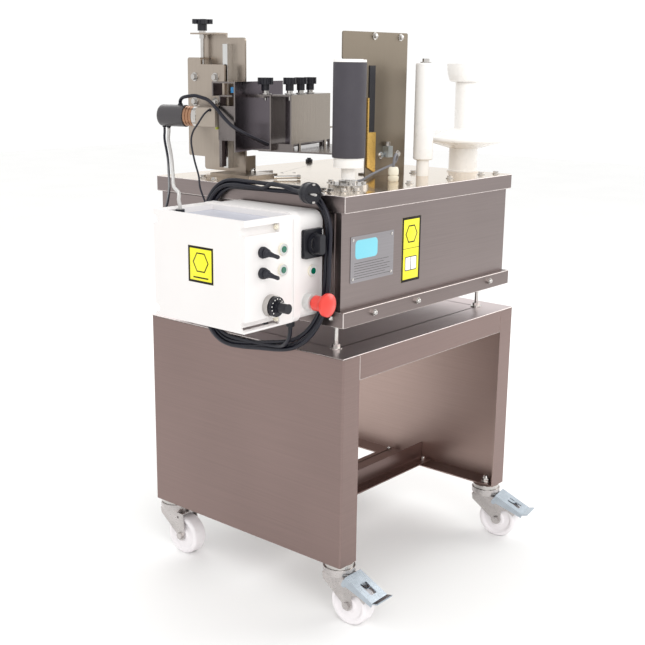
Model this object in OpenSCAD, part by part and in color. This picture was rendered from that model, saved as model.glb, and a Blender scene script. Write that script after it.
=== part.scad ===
// Semi-automatic bottle labelling machine on a wheeled stand, millimetres.
// X runs along the front, Y towards the back, Z up, floor at zero.
// Each module below is drawn about the middle of the stand; placed() moves it to the part's frame.

/* [Stand] */
// Width of the stand
stand_w = 573; // [560:1:590]
// Depth of the stand
stand_d = 505; // [495:1:520]
// Height of the stand without its casters
stand_h = 400; // [380:1:420]
// Sheet thickness of the stand
sheet = 2.5; // [2:0.5:3]
// Width of the front and rear leg flanges
leg_w = 47; // [40:1:55]
// Height of the front and rear top rails
rail_h = 48.5; // [40:0.5:60]

/* [Casters] */
// Height from the floor to the stand
caster_h = 114; // [112:1:118]
// Radius of a wheel
wheel_r = 41; // [39:0.5:41]
// Width of a wheel
wheel_w = 33; // [30:1:33]
// Distance from the swivel axis to the axle
trail = 34.5; // [33:0.5:36]

/* [Cabinet] */
// Depth of the lid's folded edge
lid_edge = 29.5; // [25:0.5:35]
// Height of the tray
tray_h = 28.7; // [25:0.1:32]
// Gap between the stand and the tray
foot_gap = 51; // [40:1:60]
// Height of the cabinet from the tray to the lid's top
cabinet_h = 203; // [190:1:220]

/* [Control box] */
// Height of the box
box_h = 187; // [180:1:190]
// Width of the box along Y
box_w = 220; // [215:1:225]

/* [Drive roller] */
// Radius over the rubber
roller_r = 30.25; // [28:0.25:32]
// Length of the rubber sleeve
sleeve_l = 169; // [150:1:175]

/* [Label reel] */
// Radius of the reel's disc
disc_r = 91; // [80:1:95]
// Radius of the reel's core
core_r = 21.5; // [18:0.5:24]

/* [Hidden] */
$fn = 48;
gap = 0.3;
run = 0.06;
mid_x = -67.5;
mid_y = -31.6;
stand_z = caster_h;
stand_top_z = stand_z + stand_h;
tray_z = stand_top_z + foot_gap;
cab_z = tray_z + tray_h;
lid_z = cab_z + cabinet_h;
lid_t = 2.5;
under_lid = lid_z - lid_t;
tray_x = 277.2;
tray_y = 243.1;
lid_x = 274.3;
lid_y = 240.9;
cab_x = 272;
cab_y = 230;
cab_t = 1.5;
box_front = -474;
box_back = -281.6;
box_z = 584;
box_y = -197;
box_mid = box_y + box_w / 2;
seam = -349.5;
roller_at = [-156.8, -151.5];
motor_at = [-46.8, -151.5];
pulley_r = 20;
guide_at = [109.5, -129.4];
reel_at = [248, -136];
spindle_at = [-163, 222];
head_turn = 16;
head_at = [-205, 93.8];
plate_y = -66.7;
swivel = [256.6, 226.4];
foot_at = [235, 193];
caster_turn = [-89, -80, -89, -100];
caster_side = [[-1, -1], [1, -1], [-1, 1], [1, 1]];
// Hand-set routes of the cables
grey_route = [[-231.2, 250.6, 887.2], [-231.2, 250.6, 880], [-237, 246, 864], [-252, 222, 836],
    [-304, 160, 808], [-370, 85, 796], [-426, 10, 795], [-447, -13, 786], [-449, -18, 777],
    [-449, -18, 771.4]];
black_route = [[-234, 260.2, 887.2], [-234, 260.2, 880], [-240, 254, 864], [-256, 228, 832],
    [-309, 166, 803], [-372, 96, 784], [-412, 60, 762], [-436, 48, 744], [-440, 40, 740],
    [-440, 33.4, 740]];
thin_route = [[-222.2, 142.9, 926], [-226.5, 141.7, 925.5], [-237, 143, 918], [-248, 147, 902],
    [-262, 148, 885], [-272, 142, 866], [-287, 118, 836], [-301, 92, 809], [-316, 72, 788],
    [-322, 48, 757], [-322, 39, 750], [-322, 33.4, 750]];
head_route = [[-223.5, 223.7, 936.4], [-223.5, 223.7, 941], [-229, 212, 947], [-231, 199, 950],
    [-222, 184, 952],
    [-218, 169, 949], [-214, 154, 944], [-217, 131, 931], [-216, 109, 912], [-212, 90, 897],
    [-199, 75, 885], [-180, 66, 875], [-160, 63, 867], [-145, 61, 861]];
sensor_route = [[-104, -118, 799.7], [-94, -122, 800.2], [-82, -127, 802.5], [-61, -133, 812],
    [-20, -132, 821], [3, -132, 825.5], [13, -134, 833], [11, -138, 843], [0, -143, 847],
    [-11, -147.5, 841], [-15, -149, 830], [-15, -149, 824]];
mains_in = [[-312, -150, 561.8], [-312, -149.5, 549], [-309, -142, 534], [-302, -124, 521],
    [-296, -104, 516.8]];
mains_out = [[-287, -70, 801], [-289, -88, 806], [-294, -108, 808.5], [-298.5, -128, 806],
    [-300.2, -144, 802.6], [-301, -152, 801.8], [-302.5, -160.4, 801.7]];
coil_at = [-294.6, 500];
coil_tilt = 2.6;
plug_at = [-309.5, -200, 801.7];
plug_turn = -10;

// ---------- shared shapes ----------
module placed() translate([-mid_x, -mid_y, 0]) children();

// A box from one corner to the opposite one
module block(a, b) translate(a) cube(b - a);

// A rectangle with round corners, from one corner to the other
module pad(a, b, r) {
    translate([a[0] + r, a[1]]) square([b[0] - a[0] - 2 * r, b[1] - a[1]]);
    translate([a[0], a[1] + r]) square([b[0] - a[0], b[1] - a[1] - 2 * r]);
    for (x = [a[0] + r, b[0] - r], y = [a[1] + r, b[1] - r]) translate([x, y]) circle(r);
}

// Extrudes an outline drawn in Y and Z along X, or one drawn in X and Z along Y
module along_x(x, t) translate([x, 0, 0]) rotate([90, 0, 90]) linear_extrude(t) children();
module along_y(y, t) translate([0, y + t, 0]) rotate([90, 0, 0]) linear_extrude(t) children();

module rod_z(x, y, z0, z1, r) translate([x, y, z0]) cylinder(h = z1 - z0, r = r);
module rod_y(x, z, y0, y1, r) translate([x, y1, z]) rotate([90, 0, 0]) cylinder(h = y1 - y0, r = r);
module rod_x(y, z, x0, x1, r) translate([x0, y, z]) rotate([0, 90, 0]) cylinder(h = x1 - x0, r = r);

// A domed nut that stands on the plane z = 0
module dome_nut(r) {
    cylinder(h = r * 0.75, r = r, $fn = 6);
    translate([0, 0, r * 0.75]) rotate_extrude() intersection() {
        circle(r * 0.8);
        square(r);
    }
}

// A hexagon screw head with its washer, standing on the plane z = 0
module hex_head(r) {
    cylinder(h = 1.2, r = r * 1.45);
    translate([0, 0, 1.2]) cylinder(h = r * 0.8, r = r, $fn = 6);
}

// Catmull-Rom curve through a list of points, n steps to a stretch
function at(p, i) = p[max(0, min(len(p) - 1, i))];
function spot(a, b, c, d, t) = 0.5 * ((2 * b) + (c - a) * t + (2 * a - 5 * b + 4 * c - d) * t * t
    + (3 * b - a - 3 * c + d) * t * t * t);
function curve(p, n) = concat([for (i = [0:len(p) - 2], k = [0:n - 1])
    spot(at(p, i - 1), at(p, i), at(p, i + 1), at(p, i + 2), k / n)], [at(p, len(p))]);
function unit(v) = v / norm(v);
function heading(c, i) = unit(at(c, i + 1) - at(c, i - 1));

// A cable: one ring of points at each step of a curve, joined by triangles
module cable(route, d, n = 2, sides = 8, up = [0.31, -0.23, 0.92]) {
    c = curve(route, n);
    m = len(c);
    points = [for (i = [0:m - 1], k = [0:sides - 1])
        let (t = heading(c, i), u = unit(cross(t, up)), v = cross(t, u), a = 360 * k / sides)
        c[i] + d / 2 * (cos(a) * u + sin(a) * v)];
    skin = [for (i = [0:m - 2], k = [0:sides - 1])
        let (a = i * sides + k, b = i * sides + (k + 1) % sides)
        each [[a, a + sides, b], [b, a + sides, b + sides]]];
    ends = [[for (k = [0:sides - 1]) k], [for (k = [sides - 1:-1:0]) (m - 1) * sides + k]];
    polyhedron(points, concat(skin, ends));
}

// ---------- stand ----------
module stand_top() color("#a8a29c") difference() {
    union() {
        block([-stand_w / 2, -stand_d / 2, stand_top_z - sheet], [stand_w / 2, stand_d / 2, stand_top_z]);
        for (y = [-stand_d / 2, stand_d / 2 - sheet])
            block([-stand_w / 2 + leg_w, y, stand_top_z - rail_h],
                [stand_w / 2 - leg_w, y + sheet, stand_top_z - sheet]);
    }
    for (s = caster_side)
        rod_z(s[0] * foot_at[0], s[1] * foot_at[1], stand_top_z - 5, stand_top_z + 5, 4.5);
}

// Side panel: web, folded front and rear legs, and an inward foot
module stand_side(side) color("#9b938d") difference() {
    union() {
        translate([0, 0, stand_z]) linear_extrude(stand_h - sheet) side_section(side);
        translate([side > 0 ? 0 : -stand_w / 2 + sheet, 0, 0])
            block([side > 0 ? 239 : 0, -stand_d / 2 + sheet, stand_z],
                [side > 0 ? stand_w / 2 - sheet : 45, stand_d / 2 - sheet, stand_z + sheet]);
    }
    for (y = [-1, 1]) rod_z(side * swivel[0], y * swivel[1], stand_z - 1, stand_z + 4, 6.2);
    for (y = [-48, 50]) rod_z(side * 266.5, y, stand_z - 1, stand_z + 4, 3.3);
}

module side_section(side) {
    r = 4;
    outer = side * stand_w / 2;
    web = side > 0 ? outer - sheet : outer;
    translate([web, -stand_d / 2 + r]) square([sheet, stand_d - 2 * r]);
    for (y = [-stand_d / 2, stand_d / 2 - sheet])
        translate([side > 0 ? outer - leg_w : outer + r, y]) square([leg_w - r, sheet]);
    for (e = [-1, 1]) translate([outer - side * r, e * (stand_d / 2 - r)]) intersection() {
        difference() {
            circle(r);
            circle(r - sheet);
        }
        translate([side > 0 ? 0 : -r, e > 0 ? 0 : -r]) square(r);
    }
}

module stand_left_side() stand_side(-1);
module stand_right_side() stand_side(1);

module cross_brace() color("#8d8680") difference() {
    z = stand_z + sheet;
    union() {
        block([-283.5, -62, z], [283.5, 65, z + 3]);
        block([-283.5, -33, z + 3], [283.5, -30, z + 38]);
    }
    for (x = [-266.5, 266.5], y = [-48, 50]) rod_z(x, y, z - 1, z + 5, 3.3);
}

module levelling_feet() color("#d5d2c8") for (s = caster_side)
    translate([s[0] * foot_at[0], s[1] * foot_at[1], 0]) {
        rod_z(0, 0, stand_top_z - 14, cab_z - lid_t, 4);
        rod_z(0, 0, stand_top_z, stand_top_z + 1.6, 12);
        translate([0, 0, stand_top_z + 1.6]) cylinder(h = 6.5, r = 7.5, $fn = 6);
        translate([0, 0, stand_top_z - sheet - 6.5]) cylinder(h = 6.5, r = 7.5, $fn = 6);
        translate([0, 0, tray_z + 4]) cylinder(h = 6.5, r = 7.5, $fn = 6);
    }

// Screws and domed nuts of one machine: caster studs, brace bolts, tray and lid screws
module fasteners() color("#d9d6cf") {
    for (s = caster_side) translate([s[0] * swivel[0], s[1] * swivel[1], 0]) {
        rod_z(0, 0, stand_z - 30, stand_z + 12, 6);
        rod_z(0, 0, stand_z - 32, stand_z - 26.3, 9);
        rod_z(0, 0, stand_z - 8, stand_z, 28);
        translate([0, 0, stand_z + sheet]) cylinder(h = 1.5, r = 12);
        translate([0, 0, stand_z + sheet + 1.5]) dome_nut(9.5);
    }
    for (x = [-266.5, 266.5], y = [-48, 50]) translate([x, y, stand_z + sheet + 3]) {
        translate([0, 0, -8.5]) cylinder(h = 12, r = 3);
        translate([0, 0, -9.5]) cylinder(h = 4, r = 5.5, $fn = 6);
        dome_nut(5.5);
    }
    for (x = [-192.7, -58.4, 196.7]) translate([x, -tray_y, 582]) rotate([90, 0, 0]) dome_nut(6.5);
    translate([-tray_x, -217.6, 582]) rotate([0, -90, 0]) dome_nut(5.5);
    for (p = [[-27, -196], [104, -200], [213, -204], [252, -215], [-236, 149], [-252, 102],
        [-250, 60], [-235, -159], [-235, -175], [-218, -190], [-193, -200], [-124, -83], [138, -86]])
        translate([p[0], p[1], lid_z]) hex_head(5.5);
    for (p = [[-136, 131], [-142, 104]]) translate([p[0], p[1], 802.5]) dome_nut(6);
}

// ---------- casters ----------
// Draws its children in a caster's own frame: X along the trail, Z from the floor
module at_caster(i) translate([caster_side[i][0] * swivel[0], caster_side[i][1] * swivel[1], 0])
    rotate([0, 0, caster_turn[i]]) children();

// Side plate of a fork, drawn in X and Z; a braked fork reaches back over the wheel
module fork_cheek(brake) {
    polygon(brake
        ? [[-24, 91], [-22, 78], [trail - 11, wheel_r + 2], [trail + 9, wheel_r + 6], [trail + 12, 63],
            [60, 66], [74, 56], [78, 62], [31, 88], [31, 91]]
        : [[-24, 91], [-22, 78], [trail - 11, wheel_r + 2], [trail + 11, wheel_r + 2], [46, 66], [42, 91]]);
    translate([trail, wheel_r]) circle(11);
}

module fork(i, brake) color("#b9b4ae") at_caster(i) {
    difference() {
        union() {
            rod_z(0, 0, 91, 95, 28);
            rod_z(0, 0, 95, stand_z - 8.3, 30.5);
            block([-24, -21, 88], [brake ? 31 : 42, 21, 91]);
            for (y = [-21, 18.5]) along_y(y, 2.5) fork_cheek(brake);
        }
        rod_z(0, 0, 80, stand_z, 6 + run);
        rod_y(trail, wheel_r, -30, 30, 4.1);
        rod_y(28, 81, -30, 30, 2.5 + run);
    }
    rod_y(trail, wheel_r, -25.6, 25.6, 4);
    for (y = [-25.6, 21]) translate([trail, y + 4.6, wheel_r]) rotate([90, 0, 0])
        cylinder(h = 4.6, r = 7.5, $fn = 6);
}

// Wheel: round-shouldered tread, dished sides and a hub with a bore
module wheel(i) color("#f4efec") at_caster(i) translate([trail, 0, wheel_r]) rotate([90, 0, 0])
    rotate_extrude($fn = 64) difference() {
        union() {
            translate([4 + run, -wheel_w / 2]) square([wheel_r - 10 - run, wheel_w]);
            translate([4 + run, -wheel_w / 2 + 6]) square([wheel_r - 4 - run, wheel_w - 12]);
            for (z = [-1, 1]) translate([wheel_r - 6, z * (wheel_w / 2 - 6)]) circle(6);
        }
        for (z = [-1, 1]) polygon([[14, z * (wheel_w / 2 + 1)], [14, z * (wheel_w / 2 - 2)],
            [17, z * (wheel_w / 2 - 4)], [28, z * (wheel_w / 2 - 4)], [32, z * (wheel_w / 2 - 1)],
            [33, z * (wheel_w / 2 + 1)]]);
    }

// Brake pedal: a sloping plate with side flanges, pivoted on the fork
module pedal(i) color("#c6ccd2") at_caster(i) {
    difference() {
        union() {
            for (y = [-23.5, 21.5]) along_y(y, 2) {
                translate([28, 81]) circle(5);
                polygon([[23.2, 82], [27, 90], [33, 96.6], [95, 66.5], [93, 58], [60, 70], [33, 79]]);
            }
            along_y(-23.5, 47) polygon([[32, 97.1], [95, 66.5], [106, 69], [107, 67], [95, 64], [32, 94.6]]);
        }
        along_y(-9, 18) polygon([[58, 95], [84, 82], [80, 60], [54, 74]]);
    }
    for (y = [-21.5, 18.8]) rod_y(28, 81, y, y + 2.7, 2.5);
    along_y(-5, 10) polygon([[54, 86.6], [64, 81.8], [70, 81.5], [70, 79.5], [63, 79.4], [54, 83.8]]);
}

module near_fork() fork(0, true);
module right_fork() fork(1, true);
module rear_left_fork() fork(2, false);
module rear_right_fork() fork(3, false);
module near_wheel() wheel(0);
module right_wheel() wheel(1);
module rear_left_wheel() wheel(2);
module rear_right_wheel() wheel(3);
module near_pedal() pedal(0);
module right_pedal() pedal(1);

// ---------- tray, cabinet and lid ----------
module tray() color("#9e9690") difference() {
    block([-tray_x, -tray_y, tray_z], [tray_x, tray_y, cab_z]);
    block([-tray_x + lid_t, -tray_y + lid_t, tray_z - 1], [tray_x - lid_t, tray_y - lid_t, cab_z - lid_t]);
}

// Front, right and rear walls with returns on the left that carry the service panel
module cabinet() color("#a39b96") {
    translate([0, 0, cab_z]) linear_extrude(under_lid - cab_z) {
        for (y = [-cab_y, cab_y - cab_t]) translate([-cab_x + 2, y]) square([2 * cab_x - 2, cab_t]);
        translate([cab_x - cab_t, -cab_y]) square([cab_t, 2 * cab_y]);
        for (y = [-cab_y, 200]) translate([-cab_x + 2, y]) square([cab_t, 30]);
    }
    block([-cab_x + 2, -cab_y + cab_t, cab_z], [cab_x - cab_t, -cab_y + 18, cab_z + cab_t]);
    block([-cab_x + 2, cab_y - 18, cab_z], [cab_x - cab_t, cab_y - cab_t, cab_z + cab_t]);
}

module left_panel() color("#b3aca5") difference() {
    block([-cab_x, -217, cab_z + 1.5], [-cab_x + 2, 217, lid_z - lid_edge - 1]);
    for (y = [box_mid - 80, box_mid + 80], z = [box_z + 40, box_z + box_h - 40])
        rod_x(y, z, -cab_x - 1, -cab_x + 3, 3.2);
}

module lid() color("#b5ada7") difference() {
    block([-lid_x, -lid_y, lid_z - lid_edge], [lid_x, lid_y, lid_z]);
    block([-lid_x + cab_t, -lid_y + cab_t, lid_z - lid_edge - 1], [lid_x - cab_t, lid_y - cab_t, under_lid]);
    rod_z(roller_at[0], roller_at[1], under_lid - 1, lid_z + 1, 19.3);
    rod_z(-15, -149, under_lid - 1, lid_z + 1, 6.2);
    for (p = [[-57, 103], [-38.5, 85.5]]) rod_z(p[0], p[1], under_lid - 1, lid_z + 1, 4);
}

module nameplate() color("#c9c5c0") difference() {
    along_y(-cab_y - 1, 1) pad([-244.4, 639.4], [-119, 722.5], 2);
    for (x = [-238, -125.5], z = [646, 716]) rod_y(x, z, -cab_y - 2, -cab_y + 1, 1.6);
}

// ---------- control box ----------
module box_outline(grow, r) pad([box_y - grow, box_z - grow], [box_y + box_w + grow, box_z + box_h + grow], r);

module box_base() color("#f3efe6") difference() {
    union() {
        along_x(-341, box_back + 341) box_outline(0, 20);
        along_x(seam, -341 - seam) box_outline(2.5, 16);
    }
    along_x(seam - 1, box_back - seam - 3) box_outline(-4, 16);
    for (y = [box_mid - 80, box_mid + 80], z = [box_z + 40, box_z + box_h - 40])
        rod_x(y, z, box_back - 5, box_back + 1, 3.2);
}

// Deep cover: a full front plate, sunken top and bottom, and screw channels at its corners
module box_lid() color("#faf6ee") difference() {
    union() {
        along_x(box_front, seam - 8.5 - box_front) box_outline(0, 3);
        along_x(seam - 8.5, 8.5) box_outline(2.5, 16);
    }
    block([box_front + 3.5, box_y + 4, box_z + 24], [seam + 1, box_y + box_w - 4, box_z + box_h - 30]);
    block([box_front + 3.5, box_y + 20, box_z + 13], [seam + 1, box_y + box_w - 20, box_z + box_h - 13]);
    for (z = [box_z - 1, box_z + box_h - 9])
        block([box_front + 4, box_y + 4, z], [seam - 13, box_y + box_w - 32, z + 10]);
    for (y = [box_y + 3, box_y + box_w - 3], z = [box_z + 12, box_z + box_h - 18])
        rod_x(y, z, box_front - 1, box_front + 82, 8);
}

// Spacers, cable glands, lamp rings and toggle collars
module box_fittings() color("#e8e2d2") {
    for (y = [box_mid - 80, box_mid + 80], z = [box_z + 40, box_z + box_h - 40])
        rod_x(y, z, box_back, -cab_x, 7);
    gland_down(-312, -150, 10);
    gland_down(-312, -60, 8);
    gland_down(-330, -105, 8);
    rod_z(-449, -18, box_z + box_h - 9, box_z + box_h, 8);
    rod_y(-440, 740, box_y + box_w, box_y + box_w + 10, 8);
    rod_y(-322, 750, box_y + box_w, box_y + box_w + 10, 6);
    for (p = [[-385, 715.5], [-386, 680.5], [-310, 668.5]]) difference() {
        rod_y(p[0], p[1], box_y - 4, box_y, 10);
        rod_y(p[0], p[1], box_y - 5, box_y - 1, 7);
    }
    for (z = [716, 681.4]) rod_y(-434, z, box_y - 2.5, box_y, 9.5);
}

module gland_down(x, y, r) {
    rod_z(x, y, box_z - 8, box_z, r);
    rod_z(x, y, box_z - 22, box_z - 8, r - 2);
}

module lamp_lenses() color("#0c6b4a") for (p = [[-385, 715.5], [-386, 680.5], [-310, 668.5]])
    translate([p[0], box_y - 1, p[1]]) rotate([90, 0, 0]) {
        cylinder(h = 3, r = 7);
        translate([0, 0, 3]) cylinder(h = 1.5, r = 5.5);
    }

// Dial ring of the speed control and collar of the stop button
module control_bezels() color("#c8c8c4") {
    rod_y(-415, 624, box_y - 11, box_y, 19);
    difference() {
        rod_y(-320, 615.5, box_y - 14, box_y, 15);
        rod_y(-320, 615.5, box_y - 15, box_y - 1, 9);
    }
}

module switch_plate() color("#26262b") difference() {
    along_y(box_y - 8, 8) pad([-337, 692], [-287, 742], 4);
    rod_y(-312, 717, box_y - 9, box_y - 6, 19.5);
}

module toggle(z) color("#2e2e36") translate([-434, box_y - 10.4, z]) {
    sphere(7.5);
    translate([-7.8, 0, 0]) rotate([0, 90, 0]) cylinder(h = 15.6, r = 2);
    rotate([98, 0, 0]) {
        cylinder(h = 15, r1 = 6, r2 = 3.6);
        cylinder(h = 25, r = 3.4);
        translate([0, 0, 25]) sphere(3.4);
    }
}

module toggle_1() toggle(716);
module toggle_2() toggle(681.4);

module speed_knob() color("#24242a") {
    rod_y(-415, 624, box_y - 17.3, box_y - 11.3, 17);
    rod_y(-415, 624, box_y - 42, box_y - 17.3, 8.5);
    rod_y(-415, 624, box_y - 24, box_y - 17.3, 10);
}

module switch_grip() color("#1f1f24") {
    rod_y(-312, 717, box_y - 12, box_y - 6.3, 19);
    along_y(box_y - 27, 15) pad([-319, 700], [-305, 734], 5);
}

module estop_button() color("#e0302c") translate([-320, box_y, 615.5]) rotate([90, 0, 0]) {
    translate([0, 0, 7]) cylinder(h = 12, r = 8.7);
    translate([0, 0, 19]) rotate_extrude() union() {
        square([13.5, 18]);
        polygon([[0, 14], [13.5, 14], [16, 19], [20.5, 24], [20.5, 29], [0, 29]]);
        translate([0, 29]) intersection() {
            translate([0, -30]) circle(36.3);
            square([20.5, 8]);
        }
    }
}

// ---------- drive inside the cabinet ----------
module drive_motor() color("#5a5c60") translate([motor_at[0], motor_at[1], cab_z]) {
    block([-55, -55, 0], [55, 55, 5]);
    block([-35, -35, 5], [35, 35, 70]);
    translate([0, 0, 70]) cylinder(h = 52, r = 33);
    difference() {
        translate([0, 0, 122]) cylinder(h = 5, r = 12);
        translate([0, 0, 120]) cylinder(h = 8, r = 6 + run);
    }
}

module motor_pulley() color("#9a9a9c") translate([motor_at[0], motor_at[1], 0]) {
    rod_z(0, 0, cab_z + 122.3, 755, 6);
    rod_z(0, 0, 737, 750, pulley_r);
    for (z = [735, 750]) rod_z(0, 0, z, z + 2, pulley_r + 4);
}

module drive_belt() color("#202022") translate([0, 0, 738.5]) linear_extrude(10) difference() {
    loop_outline(pulley_r + gap + 2.5);
    loop_outline(pulley_r + gap);
}

module loop_outline(r) {
    for (p = [roller_at, motor_at]) translate(p) circle(r);
    translate([roller_at[0], roller_at[1] - r]) square([motor_at[0] - roller_at[0], 2 * r]);
}

// Flanged bearing housing of the drive roller
module bearing_housing() color("#c3c1bc") difference() {
    translate([roller_at[0], roller_at[1], 0]) {
        rod_z(0, 0, lid_z, lid_z + 6.3, 37);
        rod_z(0, 0, lid_z + 6.3, lid_z + 12.3, 17.5);
        rod_z(0, 0, lid_z - 30, lid_z, 19);
        for (a = [45:90:315]) rotate([0, 0, a]) translate([29, 0, lid_z + 6.3]) cylinder(h = 4, r = 4.5);
    }
    rod_z(roller_at[0], roller_at[1], lid_z - 31, lid_z + 13, 6 + run);
}

module roller_core() color("#ecebe6") translate([roller_at[0], roller_at[1], 0]) {
    top = 850.5 + sleeve_l;
    rod_z(0, 0, 733, 820, 6);
    rod_z(0, 0, 737, 750, pulley_r);
    for (z = [735, 750]) rod_z(0, 0, z, z + 2, pulley_r + 4);
    rod_z(0, 0, 811.5, 833, 13);
    rod_z(0, 0, 833, 850.5, 27.5);
    rod_z(0, 0, 850.5, top, 24.9);
    rod_z(0, 0, top, top + 4.5, 30);
}

module rubber_sleeve() color("#2b2b2f") translate([roller_at[0], roller_at[1], 850.5]) difference() {
    cylinder(h = sleeve_l, r = roller_r, $fn = 72);
    translate([0, 0, -1]) cylinder(h = sleeve_l + 2, r = 25);
}

// ---------- label reel and guide ----------
module reel_posts() color("#dcd8cf") {
    translate([guide_at[0], guide_at[1], 0]) {
        rod_z(0, 0, lid_z, 828.7, 12.5);
        rod_z(0, 0, 828.7, 1019.3, 6);
        rod_z(0, 0, 1019.3, 1021, 11);
        translate([0, 0, 1021]) cylinder(h = 6.5, r = 7, $fn = 6);
    }
    translate([reel_at[0], reel_at[1], 0]) {
        rod_z(0, 0, lid_z, lid_z + 3, 33);
        rod_z(0, 0, lid_z + 3, 845.7, 30);
        rod_z(0, 0, 845.7, 1004, 8);
    }
}

module guide_roller() color("#f6f4ef") translate([guide_at[0], guide_at[1], 0]) difference() {
    union() {
        rod_z(0, 0, 831, 1017, 19.7);
        translate([0, 0, 829]) cylinder(h = 2, r1 = 17.7, r2 = 19.7);
        translate([0, 0, 1017]) cylinder(h = 2, r1 = 19.7, r2 = 17.7);
    }
    rod_z(0, 0, 828, 1020, 6 + run);
}

// Disc and core of the reel: the core carries the roll of labels
module reel_hub() color("#fbfaf5") translate([reel_at[0], reel_at[1], 0]) rotate_extrude($fn = 96)
    polygon([[8 + run, 846], [34, 846], [disc_r - 2, 862], [disc_r, 865], [disc_r, 869],
        [disc_r - 2, 871], [60, 881], [30, 886], [core_r, 886], [core_r, 981], [8 + run, 981]]);

module reel_cone() color("#fbfaf5") translate([reel_at[0], reel_at[1], 0]) difference() {
    rotate_extrude($fn = 96) {
        polygon([[0, 981.3], [30, 981.3], [34.5, 984], [39, 996], [41, 1010], [41, 1018],
            [37, 1018], [35, 1012], [0, 1012]]);
    }
    rod_z(0, 0, 980, 1006, 8 + run);
}

module label_plate() color("#968f8a") {
    difference() {
        along_y(plate_y, 3) union() {
            pad([-74, 1025], [132.5, 1076.5], 4);
            translate([1.4, lid_z]) square([131.1, 240]);
            translate([-12, 1017]) square([14, 10]);
        }
        along_y(plate_y - 1, 5) union() {
            translate([-12, 1013]) circle(12.5);
            translate([-30, 1000]) square([18, 25]);
        }
        for (p = [[50, 837], [107, 837], [23.4, 1069], [108, 1068]])
            rod_y(p[0], p[1], plate_y - 1, plate_y + 4, 3.2);
    }
    block([30, plate_y + 3, lid_z], [132.5, plate_y + 6, 860]);
    block([30, plate_y + 6, lid_z], [132.5, plate_y + 40, lid_z + 3]);
    for (p = [[50, 837], [107, 837]]) translate([p[0], plate_y, p[1]]) rotate([90, 0, 0]) hex_head(5);
    block([58, plate_y - 14, 833], [73, plate_y, 855]);
    translate([65.5, plate_y - 7, 855]) cylinder(h = 9, r = 5, $fn = 6);
    block([8, plate_y - 2, 885], [26, plate_y, 1013]);
}

module peel_strip() color("#b08d45") {
    along_y(plate_y - 3, 3) polygon([[4, 816], [30, 803], [30, 884], [4, 884]]);
    block([4, plate_y - 3, 884], [7, plate_y, 951]);
}

// ---------- head ----------
module column() color("#a49c94") difference() {
    union() {
        block([-197, 63, lid_z], [-115, 169, 802.5]);
        along_x(-152, 4) pad([115, 802.5], [231, 1063], 6);
        along_x(-152, 4) translate([115, 802.5]) square([54, 8]);
        block([-148, 116, 802.5], [-122, 120, 835]);
        block([-148, 150, 802.5], [-122, 154, 835]);
        block([-181, 166, 1069], [-148, 238, 1072]);
        block([-152, 166, 1040], [-148, 228, 1069]);
    }
    rod_z(spindle_at[0], spindle_at[1], 1068, 1073, 4 + run);
}

module linear_rail() color("#c9c9c6") along_x(-167, 15) difference() {
    translate([148.5, 810]) square([13, 241]);
    for (z = [830:60:1040]) translate([155, z]) circle(2);
}

module carriage() color("#a09992") {
    difference() {
        union() {
            along_x(-178, 4) pad([146, 831], [250, 1011.5], 4);
            along_x(-178, 4) pad([212, 990], [250, 1024.5], 5);
            block([-174, 212, 1021.5], [-154, 240, 1024.5]);
        }
        rod_z(spindle_at[0], spindle_at[1], 1018, 1030, 4 + run);
    }
    difference() {
        block([-174, 138, 870], [-156, 172, 980]);
        block([-167 - gap, 148.5 - gap, 869], [-150, 161.5 + gap, 981]);
    }
    for (y = [171, 230], z = [939, 987]) translate([-178, y, z]) rotate([0, -90, 0]) hex_head(6);
}

// Draws its children in the head's own frame, turned about Z
module at_head() translate([head_at[0], head_at[1], 0]) rotate([0, 0, head_turn]) children();

module label_brackets() color("#9a948e") {
    at_head() {
        difference() {
            union() {
                block([16, 38.8, 815.6], [38.5, 41.8, 954.3]);
                block([16, 12, 951.3], [38.5, 38.8, 954.3]);
                block([0, -3, 847], [205, 0, 980]);
                block([0, 0, 977], [36, 48, 980]);
                block([0, 45, 953], [36, 48, 977]);
                block([8, 0, 868], [38, 38.8, 934]);
                block([50, -40, 950], [100, -3, 953]);
                block([16, 36, 815.6], [24, 38.8, 868]);
            }
            rod_z(74, -30, 949, 954, 3.3);
        }
        difference() {
            union() {
                block([47, -56, 849], [110, -53, 956]);
                block([47, -53, 953], [92, -4, 956]);
                block([47, -53, 849], [92, -16, 852]);
            }
            for (a = [66, 82]) rod_z(a, -30, 952.9, 959, 3.4);
            block([66, -33.4, 952.9], [82, -26.6, 959]);
        }
        block([63, -183, 846], [275, -20, 849]);
        block([63, -95, 849], [66, -56, 862]);
        difference() {
            union() {
                block([49, -99, 863], [232, -96, 956.5]);
                block([49, -96, 953.5], [232, -56, 956.5]);
            }
            for (a = [88, 138, 182]) rod_z(a, -76, 949, 959, 3.4);
        }
        block([84, -99, 849], [92, -96, 863]);
        block([205, -99, 849], [213, -96, 863]);
        translate([80, -75, 857]) rotate([0, 90, 0]) cylinder(h = 188, r = 3);
        for (a = [90, 240]) block([a, -79, 849], [a + 6, -71, 854.1]);
        for (p = [[254, -68], [262, -83]]) rod_z(p[0], p[1], 849, 884, 3);
        translate([258, -75.5, 884]) cylinder(h = 3, r = 16);
    }
    hull() {
        translate([-178, 146, 838]) rotate([0, -90, 0]) cylinder(h = 3, r = 6, $fn = 32);
        translate([-178, 146, 925]) rotate([0, -90, 0]) cylinder(h = 3, r = 6, $fn = 32);
    }
}

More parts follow.
